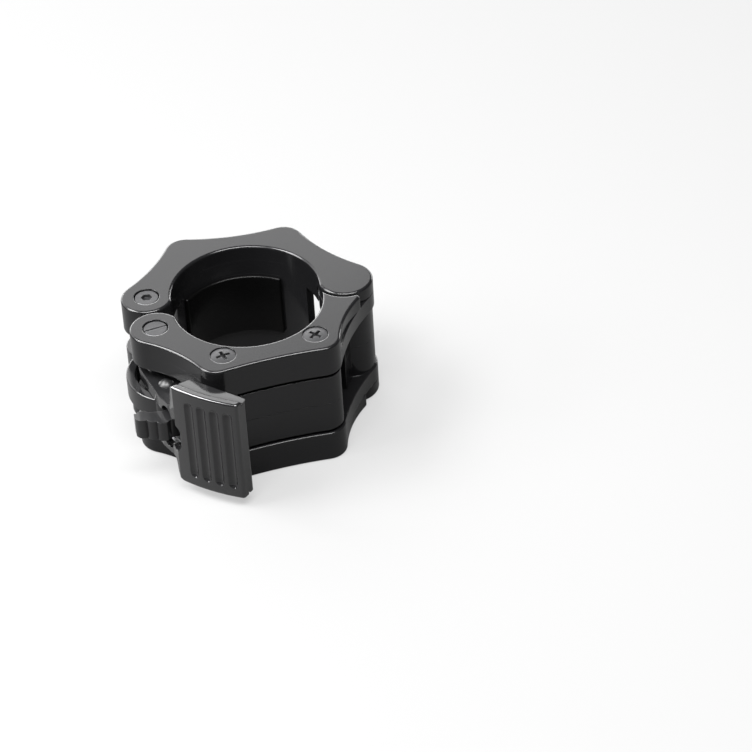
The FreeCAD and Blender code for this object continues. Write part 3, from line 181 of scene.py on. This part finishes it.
def add_grain(tree, shader, colour, spread, grain, pits, waves, roughness, drift):
    """Grain on a shader: its roughness drifts, and its colour is spread by a share. Returns the height."""
    group = node(tree, "ShaderNodeGroup", node_tree=GRAIN)
    settings = {"Grain": grain, "Pit Depth": pits, "Waviness": waves,
                "Roughness": roughness, "Drift": drift}
    for name, value in settings.items():
        group.inputs[name].default_value = value
    tree.links.new(group.outputs["Roughness"], shader.inputs["Roughness"])
    mix = node(tree, "ShaderNodeMix", data_type="RGBA")
    mix.inputs["A"].default_value = (*[c * (1 - spread) for c in colour], 1)
    mix.inputs["B"].default_value = (*[c * (1 + spread) for c in colour], 1)
    tree.links.new(group.outputs["Mottle"], mix.inputs["Factor"])
    tree.links.new(mix.outputs["Result"], shader.inputs["Base Color"])
    return group.outputs["Height"]


def add_surface(tree, shader, height, bump, round_mm, samples):
    """Fine dents from a height, over edges that are softly rounded by a radius."""
    dents = node(tree, "ShaderNodeBump")
    dents.inputs["Strength"].default_value = bump
    dents.inputs["Distance"].default_value = DENT_DEPTH
    tree.links.new(height, dents.inputs["Height"])
    soft = node(tree, "ShaderNodeBevel", samples=samples)
    soft.inputs["Radius"].default_value = round_mm * MM
    tree.links.new(soft.outputs["Normal"], dents.inputs["Normal"])
    tree.links.new(dents.outputs["Normal"], shader.inputs["Normal"])


def paint_shade_in_hollows(tree, shader, coat, reach_mm):
    """Painted shade in grooves: the coat fades where the surroundings are closed in, as coat * (o - a) / (b
    - a), held between 0 and the coat.

    o is the open share of the surroundings within the reach, a is SHADE_CLOSED_SHARE and b is
    SHADE_OPEN_SHARE.
    """
    open_share = node(tree, "ShaderNodeAmbientOcclusion", samples=SHADE_SAMPLES, only_local=True)
    open_share.inputs["Distance"].default_value = reach_mm * MM
    fade = node(tree, "ShaderNodeMapRange", clamp=True)
    fade.inputs["From Min"].default_value = SHADE_CLOSED_SHARE
    fade.inputs["From Max"].default_value = SHADE_OPEN_SHARE
    fade.inputs["To Max"].default_value = coat
    tree.links.new(open_share.outputs["AO"], fade.inputs["Value"])
    tree.links.new(fade.outputs["Result"], shader.inputs["Coat Weight"])


def plastic(name, colour, roughness, specular, grain=2600.0, pits=0.4, coat=0.0, shade_reach_mm=None,
            parting=None, round_mm=0.25):
    """Moulded plastic or rubber: satin grain, soft edges, and perhaps a coat, painted shade in grooves that
    takes the coat away there, and a parting line.
    """
    material, tree, shader = new_material(name)
    shader.inputs["Specular IOR Level"].default_value = specular
    shader.inputs["Coat Weight"].default_value = coat
    shader.inputs["Coat Roughness"].default_value = COAT_ROUGHNESS
    if shade_reach_mm is not None:
        paint_shade_in_hollows(tree, shader, coat, shade_reach_mm)
    height = add_grain(tree, shader, colour, spread=0.2, grain=grain, pits=pits, waves=0.3,
                       roughness=roughness, drift=0.08)
    if parting is not None:
        line = node(tree, "ShaderNodeGroup", node_tree=PARTING)
        line.inputs["At"].default_value = parting
        height = math_node(tree, "MULTIPLY_ADD", line.outputs["Line"], LINE_HEIGHT, height)
    add_surface(tree, shader, height, bump=0.12, round_mm=round_mm, samples=8)
    return material


def metal(name, colour, roughness, metallic=1.0):
    """Turned or pressed steel, plain or blackened, with fine scratches."""
    material, tree, shader = new_material(name)
    shader.inputs["Metallic"].default_value = metallic
    height = add_grain(tree, shader, colour, spread=0.3, grain=4000.0, pits=0.7, waves=0.2,
                       roughness=roughness, drift=0.2)
    add_surface(tree, shader, height, bump=0.15, round_mm=0.15, samples=6)
    return material


JAW = plastic("jaw_satin_black", (0.007, 0.007, 0.0075), roughness=0.17, specular=0.4,
              parting=0.019, round_mm=0.4)
# The lever carries painted shade in its grooves, where the coat is taken away
LEVER = plastic("lever_satin_black", (0.010, 0.010, 0.0105), roughness=0.16, specular=0.3,
                grain=3200.0, pits=0.5, coat=1.0, shade_reach_mm=3.0, round_mm=0.6)
STRAP = plastic("link_gloss_black", (0.008, 0.008, 0.0085), roughness=0.12, specular=0.6,
                pits=0.2, parting=0.0)
# The catch carries painted shade in its grooves, where the coat is taken away
TAB = plastic("catch_satin_black", (0.010, 0.010, 0.0105), roughness=0.3, specular=0.2,
              coat=0.6, shade_reach_mm=2.5, round_mm=0.3)
# Black rubber for the grip pads, made darker still and less shiny as painted shade for the inside of the
# bore
BORE_SHADE_RUBBER = plastic("pad_rubber_black_and_bore_shade", (0.002, 0.002, 0.002), roughness=0.25, specular=0.12, grain=1800.0)
DARK_STEEL = metal("oiled_black_steel", (0.012, 0.012, 0.0125), roughness=0.4, metallic=0.0)
BLACK_STEEL = metal("blackened_steel", (0.05, 0.05, 0.052), roughness=0.36, metallic=0.6)
STEEL = metal("plain_steel", (0.45, 0.45, 0.46), roughness=0.3)

FINISHES = {
    "main_frame": JAW, "small_jaw_upper_half": JAW, "small_jaw_lower_half": JAW,
    "main_grip_pad": BORE_SHADE_RUBBER, "small_grip_pad": BORE_SHADE_RUBBER,
    "hinge_pin": STEEL, "catch_pin": STEEL, "catch_spring": STEEL,
    "jaw_screws": BLACK_STEEL, "link_pin_post": BLACK_STEEL, "link_pin_screw": BLACK_STEEL,
    "lever_pin_post": BLACK_STEEL, "lever_pin_screw": BLACK_STEEL, "toggle_pin": DARK_STEEL,
    "link": STRAP, "lever": LEVER, "catch": TAB,
}
for name, material in FINISHES.items():
    for material_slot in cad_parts[name].material_slots:
        material_slot.material = material


# Grip pads: moulded rubber with soft edges, in place of the plain ones. Sizes in millimetres, headings in
# degrees

GRIP_RADIUS = 25.1
MAIN_PAD_BACK = 26.65
SMALL_BACK_CENTRE = (0.88, -5.91)
SMALL_BACK_RADIUS = 26.8
MAIN_PAD_HEADINGS = (62.0, 150.0)
SMALL_PAD_HEADINGS = (-126.0, -34.0)
MAIN_PAD_HALF_HEIGHT = 12.5
SMALL_PAD_HALF_HEIGHT = 10.5
MAIN_PAD_EDGE = 0.7
SMALL_PAD_EDGE = 1.1
CORNER_STEPS = 7
PAD_STEPS = 120

# What keeps a pad's section whole where its ends are rounded
CORNER_DEPTH_SHARE = 0.95
CORNER_SHRINK_SHARE = 0.8
DEPTH_SHRINK_SHARE = 0.9
LEAST_CORNER = 0.02
LEAST_HALF_DEPTH = 0.03


def main_pad_back(headings):
    """Distance of the main pad's back from the bar's axis: the same at each heading."""
    return np.full_like(headings, MAIN_PAD_BACK)


def small_pad_back(headings):
    """Distance of the small pad's back from the bar's axis.

    The back is a circle with its centre c below the axis: d = c.u + sqrt((c.u)^2 - c.c + R^2), where u
    is the direction of the heading and R is the circle's radius.
    """
    along = SMALL_BACK_CENTRE[0] * np.cos(headings) + SMALL_BACK_CENTRE[1] * np.sin(headings)
    centre_square = SMALL_BACK_CENTRE[0] ** 2 + SMALL_BACK_CENTRE[1] ** 2
    return along + np.sqrt(along ** 2 - centre_square + SMALL_BACK_RADIUS ** 2)


def pad_headings(first, last, edge):
    """Headings of a pad's sections, in radians, evenly spaced and closer together at its rounded ends.

    There they lie at e * (1 - cos a) from the end, where e is the edge radius and a runs from 0 to 90
    degrees.
    """
    reach = math.degrees(edge / GRIP_RADIUS)
    ends = reach * (1.0 - np.cos(np.linspace(0.0, math.pi / 2, CORNER_STEPS)))
    between = np.linspace(first + reach, last - reach, PAD_STEPS)[1:-1]
    return np.radians(np.concatenate([first + ends, between, last - ends[::-1]]))


def pad_points(headings, outer, half_height, edge):
    """Points of a pad, in millimetres: a row for each heading, with a column for each point of its section.

    The section at a heading is a rectangle from the grip radius to the back, with corners of radius e, or a
    little under half the thickness where that is less. At a distance d under e from an end, it is drawn in
    all round by i = e - sqrt(e^2 - (e - d)^2), and its corners shrink with i.
    """
    distance = np.minimum(headings - headings[0], headings[-1] - headings) * GRIP_RADIUS
    lack = np.clip(edge - distance, 0.0, edge)
    inset = (edge - np.sqrt(edge ** 2 - lack ** 2))[:, None]
    middle = ((outer + GRIP_RADIUS) / 2)[:, None]
    depth = ((outer - GRIP_RADIUS) / 2)[:, None]
    corner = np.linspace(0.0, math.pi / 2, CORNER_STEPS)
    ring = np.concatenate([corner + quarter * math.pi / 2 for quarter in range(4)])
    side = np.repeat([1.0, -1.0, -1.0, 1.0], CORNER_STEPS)
    level = np.repeat([1.0, 1.0, -1.0, -1.0], CORNER_STEPS)
    largest = np.minimum(edge, depth * CORNER_DEPTH_SHARE)
    soft = np.maximum(largest - inset * CORNER_SHRINK_SHARE, LEAST_CORNER)
    width = np.maximum(depth - inset * DEPTH_SHRINK_SHARE, LEAST_HALF_DEPTH)
    across = np.minimum(soft, width)
    radial = middle + side * (width - across) + across * np.cos(ring)
    up = level * (half_height - inset - soft) + soft * np.sin(ring)
    turn = headings[:, None]
    return np.stack([radial * np.cos(turn), radial * np.sin(turn), up], axis=-1)


def grip_pad(name, node_name, body, back, headings, half_height, edge):
    """Curved pad between two headings, in degrees, with each edge and end rounded by the same radius."""
    turns = pad_headings(*headings, edge)
    points = pad_points(turns, back(turns), half_height, edge) * MM
    rows, columns = points.shape[:2]
    index = np.arange(rows * columns).reshape(rows, columns)
    after = np.roll(index, -1, axis=1)
    quads = np.stack([index[:-1], index[1:], after[1:], after[:-1]], axis=-1).reshape(-1, 4)
    mesh = bpy.data.meshes.new(name)
    faces = quads.tolist() + [index[0].tolist(), index[-1][::-1].tolist()]
    mesh.from_pydata(points.reshape(-1, 3).tolist(), [], faces)
    mesh.validate()
    mesh.shade_smooth()
    mesh.materials.append(BORE_SHADE_RUBBER)
    piece = bpy.data.objects.new(name, mesh)
    bpy.context.scene.collection.objects.link(piece)
    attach(piece, body)
    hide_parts(node_name)


grip_pad("main_pad_rubber", "main_grip_pad", "main_jaw", main_pad_back,
         MAIN_PAD_HEADINGS, MAIN_PAD_HALF_HEIGHT, MAIN_PAD_EDGE)
grip_pad("small_pad_rubber", "small_grip_pad", "small_jaw", small_pad_back,
         SMALL_PAD_HEADINGS, SMALL_PAD_HALF_HEIGHT, SMALL_PAD_EDGE)


# Floor, light and camera

def make_floor():
    """Pale sheet that the collar stands on, seen as white and keeping the object's shadow."""
    mesh = bpy.data.meshes.new("floor")
    corners = ((-1, -1), (1, -1), (1, 1), (-1, 1))
    points = [(x * FLOOR_REACH, y * FLOOR_REACH, FLOOR_HEIGHT) for x, y in corners]
    mesh.from_pydata(points, [], [(0, 1, 2, 3)])
    floor = bpy.data.objects.new("floor", mesh)
    bpy.context.scene.collection.objects.link(floor)
    material, tree, shader = new_material("white_sheet")
    shader.inputs["Base Color"].default_value = (FLOOR_SHADE, FLOOR_SHADE, FLOOR_SHADE, 1)
    shader.inputs["Roughness"].default_value = FLOOR_ROUGHNESS
    shader.inputs["Specular IOR Level"].default_value = FLOOR_SPECULAR
    seen = node(tree, "ShaderNodeLightPath")
    tree.links.new(seen.outputs["Is Camera Ray"], shader.inputs["Emission Strength"])
    shader.inputs["Emission Color"].default_value = (FLOOR_GLOW, FLOOR_GLOW, FLOOR_GLOW, 1)
    mesh.materials.append(material)


def area_light(name, place, target, width, height, watts):
    """Soft box that faces a point."""
    data = bpy.data.lights.new(name, "AREA")
    data.shape = "RECTANGLE"
    data.size, data.size_y = width, height
    data.energy = watts
    light = bpy.data.objects.new(name, data)
    light.location = place
    light.rotation_euler = (Vector(target) - Vector(place)).to_track_quat("-Z", "Y").to_euler()
    bpy.context.scene.collection.objects.link(light)


def make_world():
    """Even pale surroundings."""
    world = bpy.data.worlds.new("studio")
    world.use_nodes = True
    background = world.node_tree.nodes["Background"]
    background.inputs["Color"].default_value = (1, 1, 1, 1)
    background.inputs["Strength"].default_value = WORLD_STRENGTH
    bpy.context.scene.world = world


make_floor()
make_world()
for light in LIGHTS:
    area_light(*light)

camera_data = bpy.data.cameras.new("camera")
camera_data.lens = CAMERA_LENS
camera_data.sensor_width = CAMERA_SENSOR
camera_data.clip_start = CAMERA_CLIP_START
camera = bpy.data.objects.new("camera", camera_data)
camera.matrix_world = (
    Matrix.Translation(CAMERA_PLACE)
    @ Matrix.Rotation(math.radians(CAMERA_TILT), 4, "X")
    @ Matrix.Rotation(math.radians(CAMERA_ROLL), 4, "Z"))
bpy.context.scene.collection.objects.link(camera)
bpy.context.scene.camera = camera
bpy.context.scene.view_settings.view_transform = "Standard"
